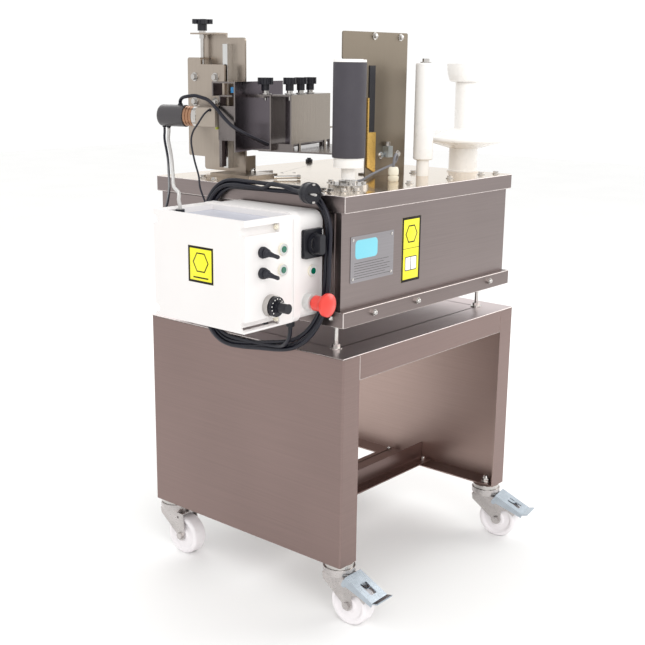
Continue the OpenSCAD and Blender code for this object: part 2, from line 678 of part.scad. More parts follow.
// Motorised print unit on the outer plate
module print_unit() color("#2f2e33") at_head() {
    color("#cdb9a0") block([0, 41.8, 894], [36, 84.8, 930]);
    translate([18, 84.8, 912]) rotate([-90, 0, 0]) {
        color("#c9c5bd") cylinder(h = 11, r = 20);
        color("#a9683f") translate([0, 0, 11]) cylinder(h = 20, r = 19.5);
        translate([0, 0, 31]) cylinder(h = 59, r = 21.5);
    }
    rod_z(18, 158, 888, 897, 4.5);
    rod_z(18, 168, 888, 897, 4);
    rod_z(18, 130, 928, 936, 5);
    translate([-1.5, 52, 926]) rotate([0, 90, 0]) cylinder(h = 3, r = 3);
}

module head_cable() color("#2c2c31") cable(head_route, 7, 3, 8, [1, 0.2, 0.1]);

module head_leads() color("#8f8c8a") {
    cable(grey_route, 6.5, 3, 8, [0.75, -0.62, 0.05]);
    cable(black_route, 5, 3, 8, [0.75, -0.62, 0.05]);
    cable(thin_route, 3.6, 3, 8, [0.75, -0.62, 0.05]);
}

module clamp_knob(a, b, z, r) color("#222226") at_head() translate([a, b, z]) {
    cylinder(h = 1.6, r = r * 0.75);
    translate([0, 0, 1.6]) cylinder(h = 5, r = 6);
    translate([0, 0, 6.6]) cylinder(h = 12, r = 8);
    translate([0, 0, 18.6]) intersection() {
        cylinder(h = 13, r = r);
        union() {
            cylinder(h = 13, r = r * 0.88);
            for (k = [0:7]) rotate([0, 0, 45 * k]) translate([r * 0.86, 0, 0]) cylinder(h = 13, r = r * 0.2);
        }
    }
    translate([0, 0, -12]) cylinder(h = 12, r = 3);
}

module clamp_knob_1() clamp_knob(74, -30, 956.3, 15.5);
module clamp_knob_2() clamp_knob(88, -76, 956.8, 13);
module clamp_knob_3() clamp_knob(138, -76, 956.8, 13);
module clamp_knob_4() clamp_knob(182, -76, 956.8, 13);

// Height screw with its star knob
module spindle() color("#3a3a3e") translate([spindle_at[0], spindle_at[1], 0]) {
    rod_z(0, 0, 945, 1078, 4);
    rod_z(0, 0, 1061, 1068.7, 6);
    rod_z(0, 0, 1072.3, 1076, 7);
    rod_z(0, 0, 1076, 1090, 9.5);
    translate([0, 0, 1089]) intersection() {
        cylinder(h = 9, r = 21);
        union() {
            cylinder(h = 9, r = 14);
            for (k = [0:4]) rotate([0, 0, 72 * k + 20]) translate([15.5, 0, 0]) cylinder(h = 9, r = 6);
        }
    }
}

// ---------- cables of the frame ----------
module sensor_cable() color("#5c5c60") {
    cable(sensor_route, 5, 2, 8, [0.3, -0.9, 0.2]);
    color("#efe6cf") difference() {
        rod_z(-15, -149, lid_z, 824, 10.5);
        rod_z(-15, -149, 820, 825, 2.6);
    }
}

// Outline of the coiled cord in Y and Z: three tight corners and a long sweep at its lower front
module coil_outline(grow) {
    for (c = [[-150, 733, 56], [15, 733, 56], [15, 569, 56], [-74, 645, 132]])
        translate([c[0], c[1]]) circle(c[2] + grow);
    polygon([[-206 - grow, 645], [-206 - grow, 733], [-150, 789 + grow], [15, 789 + grow],
        [71 + grow, 733], [71 + grow, 569], [15, 513 - grow], [-74, 513 - grow]]);
}

// Space taken by the coiled turns of the mains cord, which leans on the cabinet at its top
module mains_coil() color("#26262c")
    translate([coil_at[0], 0, coil_at[1]]) rotate([0, coil_tilt, 0]) translate([0, 0, -coil_at[1]])
        along_x(-4.5, 9) difference() {
            coil_outline(24);
            coil_outline(0);
        }

module mains_tube() color("#26262c") {
    cable(mains_in, 7.5, 2, 8, [0.8, 0.5, 0.1]);
    cable(mains_out, 7.5, 2, 8, [0.9, 0.1, 0.2]);
}

// Two-pin earthed plug: its face is at plug_at, with the pins towards -Y
module mains_plug() color("#29292f") translate(plug_at) rotate([0, 0, plug_turn]) rotate([90, 0, 0]) {
    translate([0, 0, -40]) cylinder(h = 12, r = 6.5);
    translate([0, 0, -28]) cylinder(h = 8, r1 = 9, r2 = 17.4);
    translate([0, 0, -20]) cylinder(h = 20, r = 18.5);
    for (x = [-9.5, 9.5]) translate([x, 0, -1]) cylinder(h = 20, r = 2.4);
}

placed() stand_top();
placed() stand_left_side();
placed() stand_right_side();
placed() cross_brace();
placed() levelling_feet();
placed() fasteners();
placed() tray();
placed() cabinet();
placed() left_panel();
placed() lid();
placed() nameplate();
placed() box_base();
placed() box_lid();
placed() box_fittings();
placed() lamp_lenses();
placed() control_bezels();
placed() switch_plate();
placed() drive_motor();
placed() drive_belt();
placed() bearing_housing();
placed() label_plate();
placed() peel_strip();
placed() reel_posts();
placed() column();
placed() linear_rail();
placed() sensor_cable();
placed() mains_coil();
placed() mains_tube();
placed() mains_plug();
placed() head_leads();
placed() near_fork();
placed() right_fork();
placed() rear_left_fork();
placed() rear_right_fork();
placed() near_wheel();
placed() right_wheel();
placed() rear_left_wheel();
placed() rear_right_wheel();
placed() near_pedal();
placed() right_pedal();
placed() motor_pulley();
placed() roller_core();
placed() rubber_sleeve();
placed() guide_roller();
placed() reel_hub();
placed() reel_cone();
placed() carriage();
placed() label_brackets();
placed() print_unit();
placed() head_cable();
placed() clamp_knob_1();
placed() clamp_knob_2();
placed() clamp_knob_3();
placed() clamp_knob_4();
placed() spindle();
placed() toggle_1();
placed() toggle_2();
placed() speed_knob();
placed() switch_grip();
placed() estop_button();
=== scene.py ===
import math

import bmesh
import bpy
from mathutils import Matrix, Vector


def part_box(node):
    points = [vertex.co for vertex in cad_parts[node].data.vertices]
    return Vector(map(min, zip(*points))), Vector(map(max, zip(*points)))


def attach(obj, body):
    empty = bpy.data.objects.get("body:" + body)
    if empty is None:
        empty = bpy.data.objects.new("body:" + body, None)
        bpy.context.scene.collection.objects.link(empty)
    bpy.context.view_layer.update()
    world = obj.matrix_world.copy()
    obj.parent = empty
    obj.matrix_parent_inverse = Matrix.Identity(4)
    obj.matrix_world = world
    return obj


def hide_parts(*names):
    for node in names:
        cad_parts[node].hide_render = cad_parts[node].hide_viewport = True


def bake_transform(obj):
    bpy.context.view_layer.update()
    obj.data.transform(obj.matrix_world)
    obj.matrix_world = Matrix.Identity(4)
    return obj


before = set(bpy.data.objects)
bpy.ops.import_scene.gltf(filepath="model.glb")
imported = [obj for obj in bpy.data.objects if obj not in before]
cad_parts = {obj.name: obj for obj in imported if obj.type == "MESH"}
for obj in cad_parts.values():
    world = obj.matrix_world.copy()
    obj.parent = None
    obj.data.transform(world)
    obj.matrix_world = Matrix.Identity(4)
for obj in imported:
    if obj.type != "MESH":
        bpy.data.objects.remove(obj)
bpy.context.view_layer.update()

MM = 0.001
# From the middle of the stand, where the CAD source draws, to the row frame
stand_low, stand_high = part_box("stand_top")
stand_middle = (stand_low + stand_high) / 2 / MM
SHIFT = Vector((round(stand_middle.x, 1), round(stand_middle.y, 1), 0))


def corners(node):
    """Lowest corner, highest corner and middle of a CAD node, to a tenth of a millimetre."""
    low, high = (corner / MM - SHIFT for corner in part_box(node))
    return [[round(c, 1) for c in corner] for corner in (low, high, (low + high) / 2)]


# Places of the CAD's sub-parts, in millimetres from the middle of the stand
HEAD_AT = (-205.0, 93.8)
HEAD_TURN = math.radians(16)
PLATE_Y = -66.7
SENSOR_GLAND_AT = (-15, -149)
CABINET_FRONT_Y = corners("cabinet")[0][1]
LID_TOP_Z = corners("lid")[1][2]
GUIDE_ROLLER_AT = corners("guide_roller")[2][:2]
REEL_AT = corners("reel_hub")[2][:2]
# The control box's walls stand this far outside the planes that its fittings are placed from
BOX_WALL = 2.5
BOX_LEFT_X, box_face_y, box_bottom_z = corners("box_lid")[0]
BOX_FRONT_Y = box_face_y + BOX_WALL
BOX_BASE_Z = box_bottom_z + BOX_WALL
KNOB_X, _, KNOB_Z = corners("speed_knob")[2]
SWITCH_X, _, SWITCH_Z = corners("switch_grip")[2]
TOGGLES = [corners(f"toggle_{k}")[2] for k in (1, 2)]
UP = (0, 0, 1)
FORWARD = Vector((0, -1, 0))

# Camera: place in metres in the row frame, angles in degrees, lens in millimetres
CAMERA_AT = (-1.6286, -1.3628, 1.0233)
CAMERA_YAW = 49.81
CAMERA_PITCH = 13.72
CAMERA_ROLL = 0.668
CAMERA_LENS = 60.12


def at(x, y, z):
    """A point drawn from the middle of the stand in millimetres, in the row frame."""
    return (Vector((x, y, z)) + SHIFT) * MM


def at_head(a, b, z):
    """A point of the turned head, given along its plates and across them."""
    c, s = math.cos(HEAD_TURN), math.sin(HEAD_TURN)
    return at(HEAD_AT[0] + a * c - b * s, HEAD_AT[1] + a * s + b * c, z)


# ---------- camera ----------
def make_camera():
    """The camera at the standpoint that the object is seen from."""
    yaw = math.radians(CAMERA_YAW)
    pitch = math.radians(CAMERA_PITCH)
    roll = math.radians(CAMERA_ROLL)
    forward = Vector(
        (math.sin(yaw) * math.cos(pitch), math.cos(yaw) * math.cos(pitch), -math.sin(pitch))
    )
    right = Vector((math.cos(yaw), -math.sin(yaw), 0))
    up = right.cross(forward)
    across = right * math.cos(roll) + up * math.sin(roll)
    upward = up * math.cos(roll) - right * math.sin(roll)
    data = bpy.data.cameras.new("camera")
    data.sensor_width = 36
    data.lens = CAMERA_LENS
    data.clip_start = 0.05
    data.clip_end = 50
    camera = bpy.data.objects.new("camera", data)
    bpy.context.scene.collection.objects.link(camera)
    turned = Matrix((across, upward, -forward)).transposed().to_4x4()
    camera.matrix_world = Matrix.Translation(CAMERA_AT) @ turned
    bpy.context.scene.camera = camera


make_camera()


# ---------- mesh helpers ----------
def smooth_line(points, step):
    """A Catmull-Rom curve through given points, with points about step millimetres apart."""
    p = [Vector(q) for q in points]
    out = []
    for i in range(len(p) - 1):
        a, b = p[max(i - 1, 0)], p[i]
        c, d = p[i + 1], p[min(i + 2, len(p) - 1)]
        n = max(2, round((c - b).length / step))
        for k in range(n):
            t = k / n
            square = (2 * a - 5 * b + 4 * c - d) * t * t
            cube = (3 * b - a - 3 * c + d) * t * t * t
            out.append(0.5 * (2 * b + (c - a) * t + square + cube))
    out.append(p[-1])
    return out


def new_object(name, mesh):
    piece = bpy.data.objects.new(name, mesh)
    bpy.context.scene.collection.objects.link(piece)
    return piece


def settle(piece, body):
    """Makes a piece ride on a body."""
    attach(piece, body)


def finish_mesh(name, bm, surface, smooth=True, sharp=35):
    """Turns a bmesh into a piece with one material, smooth but for its sharp edges."""
    bmesh.ops.recalc_face_normals(bm, faces=bm.faces)
    mesh = bpy.data.meshes.new(name)
    bm.to_mesh(mesh)
    bm.free()
    mesh.materials.append(surface)
    mesh.polygons.foreach_set("use_smooth", [smooth] * len(mesh.polygons))
    if smooth:
        mesh.set_sharp_from_angle(angle=math.radians(sharp))
    return new_object(name, mesh)


def frame_along(direction):
    """A rotation whose Z axis is the given direction."""
    return Vector(direction).normalized().to_track_quat("Z", "Y").to_matrix().to_4x4()


def circle(sides):
    """Cosine and sine of evenly spaced angles."""
    angles = [2 * math.pi * k / sides for k in range(sides)]
    return [(math.cos(angle), math.sin(angle)) for angle in angles]


def add_lathe(bm, outline, centre, axis, sides=48):
    """Adds the outline of (radius, height) pairs in millimetres, turned about an axis."""
    place = Matrix.Translation(centre) @ frame_along(axis)
    rings = []
    for radius, height in outline:
        turns = circle(sides) if radius > 0 else [(0, 0)]
        points = [Vector((radius * c, radius * s, height)) * MM for c, s in turns]
        rings.append([bm.verts.new(place @ point) for point in points])
    for low, high in zip(rings, rings[1:]):
        for k in range(sides):
            corners = [
                low[k % len(low)],
                low[(k + 1) % len(low)],
                high[(k + 1) % len(high)],
                high[k % len(high)],
            ]
            unique = list(dict.fromkeys(corners))
            if len(unique) > 2:
                bm.faces.new(unique)
    for ring in (rings[0], rings[-1]):
        if len(ring) > 2:
            bm.faces.new(ring)


def lathe(name, outline, centre, axis, surface, sides=48):
    bm = bmesh.new()
    add_lathe(bm, outline, centre, axis, sides)
    return finish_mesh(name, bm, surface)


def add_prism(bm, outline, place, height, bevel=0.0):
    """Adds a flat outline of (x, y) pairs in millimetres, raised along Z, with its edges rounded."""
    low = [bm.verts.new(place @ Vector((x * MM, y * MM, 0))) for x, y in outline]
    high = [bm.verts.new(place @ Vector((x * MM, y * MM, height * MM))) for x, y in outline]
    n = len(outline)
    bm.faces.new(low[::-1])
    top = bm.faces.new(high)
    for k in range(n):
        bm.faces.new([low[k], low[(k + 1) % n], high[(k + 1) % n], high[k]])
    if bevel:
        bmesh.ops.bevel(
            bm, geom=list(top.edges), offset=bevel * MM, segments=2, profile=0.6, affect="EDGES"
        )


def round_pad(width, height, radius):
    """A rectangle about the origin with round corners."""
    steps = 6
    points = []
    for k, (sx, sy) in enumerate(((1, 1), (-1, 1), (-1, -1), (1, -1))):
        for i in range(steps + 1):
            angle = math.pi / 2 * (k + i / steps)
            x = sx * (width / 2 - radius) + radius * math.cos(angle)
            y = sy * (height / 2 - radius) + radius * math.sin(angle)
            points.append((x, y))
    return points


def bar(width, height):
    """A rectangle about the origin with sharp corners."""
    x, y = width / 2, height / 2
    return [(-x, -y), (x, -y), (x, y), (-x, y)]


def hexagon(radius):
    return [(radius * c, radius * s) for c, s in circle(6)]


def facing(centre, x_axis, normal):
    """A placement whose X and Z axes are the given directions."""
    z = Vector(normal).normalized()
    x = Vector(x_axis).normalized()
    turned = Matrix((x, z.cross(x), z)).transposed().to_4x4()
    return Matrix.Translation(centre) @ turned


def tube(name, line, diameter, surface, sides=16):
    """A round tube along a list of points, closed at its ends. Distances are in metres."""
    bm = bmesh.new()
    normal = Vector((0.3, -0.2, 0.93))
    rings = []
    for i, p in enumerate(line):
        heading = (line[min(i + 1, len(line) - 1)] - line[max(i - 1, 0)]).normalized()
        normal = (normal - heading * normal.dot(heading)).normalized()
        side = heading.cross(normal)
        spokes = [normal * c + side * s for c, s in circle(sides)]
        rings.append([bm.verts.new(p + diameter / 2 * spoke) for spoke in spokes])
    for a, b in zip(rings, rings[1:]):
        for k in range(sides):
            bm.faces.new([a[k], a[(k + 1) % sides], b[(k + 1) % sides], b[k]])
    bm.faces.new(rings[0])
    bm.faces.new(rings[-1])
    return finish_mesh(name, bm, surface, sharp=60)


def soften(piece, width, rim=-1):
    """Rounds the sharp edges of a CAD node; rim is the rounded strips' own material slot, for a painted
    highlight on them.
    """
    piece.data.polygons.foreach_set("use_smooth", [True] * len(piece.data.polygons))
    weld = piece.modifiers.new("weld", "WELD")
    weld.merge_threshold = 1e-5
    bevel = piece.modifiers.new("edges", "BEVEL")
    bevel.width = width * MM
    bevel.segments = 2
    bevel.limit_method = "ANGLE"
    bevel.angle_limit = math.radians(32)
    bevel.miter_outer = "MITER_ARC"
    bevel.material = rim
    normals = piece.modifiers.new("normals", "WEIGHTED_NORMAL")
    normals.weight = 60


# ---------- materials ----------
class Surface:
    """A Principled material with short calls for its procedural detail."""

    def __init__(self, name, colour, metallic=0.0, roughness=0.5, **sockets):
        self.material = bpy.data.materials.new(name)
        self.material.use_nodes = True
        self.nodes = self.material.node_tree.nodes
        self.links = self.material.node_tree.links
        self.shader = self.nodes["Principled BSDF"]
        self.colour = colour
        self.shader.inputs["Base Color"].default_value = (*colour, 1)
        self.shader.inputs["Metallic"].default_value = metallic
        self.shader.inputs["Roughness"].default_value = roughness
        for key, value in sockets.items():
            self.shader.inputs[key.replace("_", " ")].default_value = value
        self.material.diffuse_color = (*colour, 1)
        self.height = None

    def noise(self, scale, stretch=(1, 1, 1), detail=4.0, roughness=0.55):
        place = self.nodes.new("ShaderNodeTexCoord")
        mapping = self.nodes.new("ShaderNodeMapping")
        mapping.inputs["Scale"].default_value = stretch
        texture = self.nodes.new("ShaderNodeTexNoise")
        texture.inputs["Scale"].default_value = scale
        texture.inputs["Detail"].default_value = detail
        texture.inputs["Roughness"].default_value = roughness
        self.links.new(place.outputs["Object"], mapping.inputs["Vector"])
        self.links.new(mapping.outputs["Vector"], texture.inputs["Vector"])
        return texture.outputs["Fac"]

    def tint(self, factor, dark, light, low=0.35, high=0.65):
        """Varies the base colour between two shares of it."""
        ramp = self.nodes.new("ShaderNodeValToRGB")
        ramp.color_ramp.elements[0].position = low
        ramp.color_ramp.elements[1].position = high
        ramp.color_ramp.elements[0].color = (*[min(1, c * dark) for c in self.colour], 1)
        ramp.color_ramp.elements[1].color = (*[min(1, c * light) for c in self.colour], 1)
        self.links.new(factor, ramp.inputs["Fac"])
        self.links.new(ramp.outputs["Color"], self.shader.inputs["Base Color"])
        return self

    def polish(self, factor, low, high):
        """Varies the roughness between two values."""
        spread = self.nodes.new("ShaderNodeMapRange")
        spread.inputs["From Min"].default_value = 0.3
        spread.inputs["From Max"].default_value = 0.7
        spread.inputs["To Min"].default_value = low
        spread.inputs["To Max"].default_value = high
        self.links.new(factor, spread.inputs["Value"])
        self.links.new(spread.outputs["Result"], self.shader.inputs["Roughness"])
        return self

    def bump(self, factor, strength, distance):
        node = self.nodes.new("ShaderNodeBump")
        node.inputs["Strength"].default_value = strength
        node.inputs["Distance"].default_value = distance * MM
        self.links.new(factor, node.inputs["Height"])
        if self.height is not None:
            self.links.new(self.height, node.inputs["Normal"])
        self.height = node.outputs["Normal"]
        self.links.new(self.height, self.shader.inputs["Normal"])
        return self


def steel(name, colour, low, high, grain, tone=0.10, metallic=1.0):
    """Sheet steel: a fine grain along one direction, with soft cloudy tone and wear."""
    s = Surface(name, colour, metallic=metallic, roughness=(low + high) / 2)
    fine = s.noise(1.0, grain, detail=6, roughness=0.65)
    cloud = s.noise(2.6, (1, 1, 0.8), detail=2)
    mix = s.nodes.new("ShaderNodeMix")
    mix.inputs["Factor"].default_value = 0.6
    s.links.new(fine, mix.inputs["A"])
    s.links.new(cloud, mix.inputs["B"])
    s.tint(mix.outputs["Result"], 1 - tone, 1 + tone)
    s.polish(mix.outputs["Result"], low, high)
    s.bump(fine, 0.12, 0.05)
    return s.material


def moulded(name, colour, roughness, grain=900, depth=0.03, tone=0.03, **sockets):
    """Moulded plastic: even colour, with a fine spark-eroded texture."""
    s = Surface(name, colour, roughness=roughness, **sockets)
    s.tint(s.noise(9, detail=3), 1 - tone, 1 + tone)
    fine = s.noise(grain, detail=2)
    s.polish(s.noise(25, detail=3), roughness * 0.88, min(1, roughness * 1.12))
    s.bump(fine, 0.35, depth)
    return s.material


def turned_metal(name, colour, low, high):
    """Turned or plated metal with small scratches."""
    s = Surface(name, colour, metallic=1.0, roughness=(low + high) / 2)
    s.tint(s.noise(40, detail=5), 0.9, 1.05)
    s.polish(s.noise(180, (1, 1, 3), detail=4), low, high)
    s.bump(s.noise(700, (1, 1, 2.5), detail=3), 0.15, 0.03)
    return s.material


VERTICAL = (420, 420, 5)
LEVEL = (6, 6, 480)
STAND = steel("stand_steel", (0.262, 0.192, 0.178), 0.34, 0.46, LEVEL)
# Painted light: a lighter copy of the stand steel for the inner face of the right side, which stands in
# shade
STAND_INSIDE_PAINTED_LIGHT = steel("stand_inside_painted_light", (0.46, 0.345, 0.31), 0.32, 0.44, LEVEL)
# Painted light: a lighter copy of the stand steel for the stand's upward faces, where more light falls
STAND_TOP_PAINTED_LIGHT = steel("stand_top_painted_light", (0.66, 0.57, 0.57), 0.30, 0.40, LEVEL)
TRAY = steel("tray_steel", (0.225, 0.185, 0.178), 0.32, 0.42, LEVEL)
PLATE = steel("plate_steel", (0.21, 0.178, 0.14), 0.36, 0.44, VERTICAL, tone=0.04)
CABINET = steel("cabinet_steel", (0.265, 0.222, 0.215), 0.30, 0.40, LEVEL)
# Painted reflection: a cream copy of the cabinet steel for the polished lid's top, for the pale room that
# it mirrors
LID_TOP_PAINTED_REFLECTION = steel("polished_lid_painted_reflection", (0.71, 0.59, 0.45), 0.10, 0.18, (6, 420, 6), tone=0.04)
HEAD = steel("head_steel", (0.40, 0.345, 0.295), 0.26, 0.38, VERTICAL)
HEAD_DARK = steel("bracket_steel", (0.20, 0.178, 0.172), 0.20, 0.30, VERTICAL, tone=0.1)
# Painted reflection: a dark copy of the bracket steel for the inner web, which mirrors the shaded inside
WEB_PAINTED_DARK_REFLECTION = steel("web_painted_dark_reflection", (0.085, 0.068, 0.082), 0.18, 0.28, VERTICAL, tone=0.12)
# Painted sheen: a lighter copy of the bracket steel for the outer web's outward face
WEB_PAINTED_SHEEN = steel("outer_web_painted_sheen", (0.30, 0.26, 0.22), 0.22, 0.32, VERTICAL, tone=0.08)
GROUND = steel("ground_steel", (0.62, 0.62, 0.61), 0.14, 0.24, VERTICAL)
BRIGHT = turned_metal("bright_steel", (0.56, 0.54, 0.52), 0.12, 0.24)
# Painted highlight: a bright steel for the rounded edges, standing in for the light that they catch
RIM_PAINTED_HIGHLIGHT = turned_metal("edge_painted_highlight", (0.66, 0.60, 0.58), 0.22, 0.34)
ZINC = turned_metal("zinc_steel", (0.55, 0.52, 0.51), 0.22, 0.36)
PEDAL = turned_metal("pedal_steel", (0.50, 0.56, 0.62), 0.16, 0.28)
ALUMINIUM = steel("plate_aluminium", (0.33, 0.315, 0.33), 0.32, 0.42, LEVEL, metallic=0.9)
BRASS = turned_metal("brass", (0.72, 0.47, 0.14), 0.24, 0.36)
COPPER = turned_metal("copper", (0.42, 0.235, 0.145), 0.30, 0.42)
BOX = moulded("box_plastic", (0.80, 0.775, 0.765), 0.42, grain=1200, depth=0.025, tone=0.012)
IVORY = moulded("ivory_plastic", (0.84, 0.79, 0.66), 0.38)
CREAM = moulded("cream_block", (0.36, 0.31, 0.26), 0.36)
BLACK = moulded("black_plastic", (0.012, 0.012, 0.017), 0.33, Specular_IOR_Level=0.35)
RUBBER = moulded("black_rubber", (0.050, 0.045, 0.056), 0.62, grain=1600, depth=0.05)
BOOT = moulded("boot_rubber", (0.020, 0.020, 0.028), 0.48, Specular_IOR_Level=0.35)
CORD = moulded(
    "black_cable", (0.007, 0.007, 0.015), 0.34, grain=500, depth=0.02, Specular_IOR_Level=0.4
)
SENSOR_CORD = moulded("sensor_cable_jacket", (0.17, 0.17, 0.19), 0.36, grain=500, depth=0.02)
# Painted shade: a darker, bluish copy of the box plastic for the shaded sunken top of the cover
BOX_SUNK_PAINTED_SHADE = moulded("box_sunken_top_painted_shade", (0.54, 0.55, 0.62), 0.34, grain=1200, depth=0.02, tone=0.02)
GREY_CORD = moulded("grey_cable", (0.52, 0.505, 0.49), 0.36, grain=500, depth=0.02)
MOTOR = moulded("motor_paint", (0.04, 0.045, 0.05), 0.45, grain=400)
UNIT = moulded("unit_paint", (0.055, 0.050, 0.054), 0.40, grain=700)
WHITE = moulded("white_plastic", (0.90, 0.88, 0.855), 0.28, grain=300, depth=0.01, tone=0.01)
NYLON = moulded("wheel_nylon", (0.86, 0.825, 0.84), 0.36, grain=400, depth=0.02, tone=0.02)
RED = moulded("red_plastic", (0.78, 0.045, 0.03), 0.30, grain=600, depth=0.01, Coat_Weight=0.25)
GREEN = moulded(
    "green_lens", (0.003, 0.13, 0.075), 0.10, grain=80, depth=0.05, Coat_Weight=0.5, tone=0.25
)
GREY_PLASTIC = moulded("grey_bezel", (0.60, 0.60, 0.59), 0.34)
YELLOW = moulded("yellow_label", (0.86, 0.80, 0.02), 0.38, grain=300, depth=0.01)
INK = moulded(
    "label_ink", (0.012, 0.009, 0.009), 0.5, grain=300, depth=0.01, Specular_IOR_Level=0.2
)
PALE_BLUE = moulded("pale_blue_print", (0.20, 0.60, 0.72), 0.40, grain=300, depth=0.01)
BLUE = moulded("blue_fitting", (0.03, 0.28, 0.62), 0.30)
LIME = moulded("lime_strip", (0.36, 0.40, 0.06), 0.45)
PALE_ANODISED = turned_metal("anodised_block", (0.58, 0.64, 0.68), 0.28, 0.40)


def paint(node, *surfaces, pick=None, edge=0.5, rim=None):
    """Gives a CAD node its materials; pick tells a face's one from its centre in millimetres; rim is a
    painted highlight for the rounded edges.
    """
    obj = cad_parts[node]
    obj.data.materials.clear()
    for surface in surfaces:
        obj.data.materials.append(surface)
    for face in obj.data.polygons:
        if pick is None:
            face.material_index = 0
            continue
        face.material_index = pick(face.center / MM - SHIFT, face.normal)
    if rim:
        obj.data.materials.append(rim)
    if edge:
        soften(obj, edge, rim=len(surfaces) if rim else -1)


def below(height):
    """Second material for the faces under a height in millimetres, the first one above it."""
    return lambda p, n: int(p.z < height)


def radius_from(p, x, y):
    return math.hypot(p.x - x, p.y - y)


def plate_part(p, normal):
    """Material of a face of the label plate: sheet, hex heads, small block, dark strip."""
    if p.y > PLATE_Y - 0.3:
        return 0
    if 57.6 < p.x < 73.4 and p.z < 855.5:
        return 2
    if 7 < p.x < 27 and p.z > 884:
        return 3
    return 1


def bracket_part(p, normal):
    """Material of a face of the head's brackets: the inner web takes a painted dark reflection of the
    shaded inside, the outer web a painted sheen.
    """
    c, s = math.cos(HEAD_TURN), math.sin(HEAD_TURN)
    across = (p.y - HEAD_AT[1]) * c - (p.x - HEAD_AT[0]) * s
    outwards = normal.x * s - normal.y * c
    if outwards > 0.9 and across > -10:
        return 1
    if outwards > 0.9 and across < -90:
        return 2
    return 0


def on_post(p, normal):
    """Steel rods and nuts of the guide roller's and reel's posts; the rest is plastic."""
    near = min(radius_from(p, *GUIDE_ROLLER_AT), radius_from(p, *REEL_AT))
    return int(p.z > 1019 or near < 9)


def on_sunken_top_painted_shade(p, normal):
    """The sunken top of the control box's cover, which takes a painted shade."""
    return int(normal.z > 0.9 and 755 < p.z < 766)


def on_black_fitting(p, normal):
    """The glands and the toggles' collars are black; the rest is ivory."""
    return int(p.z < BOX_BASE_Z or p.x < -425 or p.y > 0)


def paint_nodes():
    # The stand top's upward faces take the lighter copy with painted light
    paint("stand_top", STAND, STAND_TOP_PAINTED_LIGHT, pick=lambda p, n: int(n.z > 0.9), edge=1.2, rim=RIM_PAINTED_HIGHLIGHT)
    paint("stand_left_side", STAND, edge=1.1, rim=RIM_PAINTED_HIGHLIGHT)
    # The right side's inward face takes the lighter copy with painted light
    paint(
        "stand_right_side", STAND, STAND_INSIDE_PAINTED_LIGHT, pick=lambda p, n: int(n.x < -0.9), edge=1.1, rim=RIM_PAINTED_HIGHLIGHT
    )
    paint("cross_brace", STAND, edge=0.8)
    paint("levelling_feet", BRIGHT, edge=0.5)
    paint("fasteners", BRIGHT, edge=0.5)
    paint("tray", TRAY, edge=1.2, rim=RIM_PAINTED_HIGHLIGHT)
    paint("cabinet", CABINET, edge=0.6)
    paint("left_panel", CABINET, edge=0.7)
    # The lid's top faces take the cream copy with painted reflection
    paint(
        "lid",
        CABINET,
        LID_TOP_PAINTED_REFLECTION,
        pick=lambda p, n: int(n.z > 0.9 and p.z > LID_TOP_Z - 1),
        edge=1.3,
        rim=RIM_PAINTED_HIGHLIGHT,
    )
    paint("nameplate", ALUMINIUM, edge=0.3)
    paint("box_base", BOX, edge=1.2)
    paint("box_lid", BOX, BOX_SUNK_PAINTED_SHADE, pick=on_sunken_top_painted_shade, edge=1.4)
    paint("box_fittings", IVORY, BLACK, pick=on_black_fitting, edge=0.5)
    paint("lamp_lenses", GREEN, edge=0.5)
    paint("control_bezels", GREY_PLASTIC, BRIGHT, pick=lambda p, n: int(p.x < -390), edge=0.8)
    paint("switch_plate", BLACK, edge=1.2)
    paint("drive_motor", MOTOR, edge=0.8)
    paint("drive_belt", RUBBER, edge=0.0)
    paint("bearing_housing", BRIGHT, edge=0.6)
    paint("label_plate", PLATE, BRIGHT, PALE_ANODISED, BLACK, pick=plate_part, edge=0.4)
    paint("peel_strip", BRASS, edge=0.3)
    paint("reel_posts", WHITE, BRIGHT, pick=on_post, edge=0.8)
    paint("column", HEAD, edge=0.6)
    paint("linear_rail", GROUND, edge=0.4)
    paint("motor_pulley", GROUND, edge=0.5)
    paint("roller_core", WHITE, BRIGHT, pick=below(811), edge=0.9)
    paint("rubber_sleeve", RUBBER, edge=0.8)
    paint("guide_roller", WHITE, edge=0.6)
    paint("reel_hub", WHITE, edge=0.8)
    paint("reel_cone", WHITE, edge=0.8)
    paint("carriage", HEAD, BRIGHT, pick=lambda p, n: int(p.x < -178.2), edge=0.5)
    # The brackets' webs take the copies with painted reflection and painted sheen
    paint("label_brackets", HEAD_DARK, WEB_PAINTED_DARK_REFLECTION, WEB_PAINTED_SHEEN, pick=bracket_part, edge=0.5, rim=RIM_PAINTED_HIGHLIGHT)
    for k in range(1, 5):
        paint(f"clamp_knob_{k}", BLACK, BRIGHT, pick=below(963), edge=0.6)
    paint("spindle", BLACK, BRIGHT, pick=below(1078), edge=0.8)
    for k in (1, 2):
        paint(f"toggle_{k}", BOOT, edge=0.0)
    paint("speed_knob", BLACK, edge=0.9)
    paint("switch_grip", BLACK, edge=1.2)
    paint("estop_button", RED, edge=1.2)
    for name in ("near", "right", "rear_left", "rear_right"):
        paint(f"{name}_fork", ZINC, edge=0.6)
        paint(f"{name}_wheel", NYLON, edge=0.7)
    for name in ("near", "right"):
        paint(f"{name}_pedal", PEDAL, edge=0.5)


# ---------- mains cord ----------
CORD_D = 7.5
COIL_X = -294.6
COIL_TILT = math.tan(math.radians(2.6))
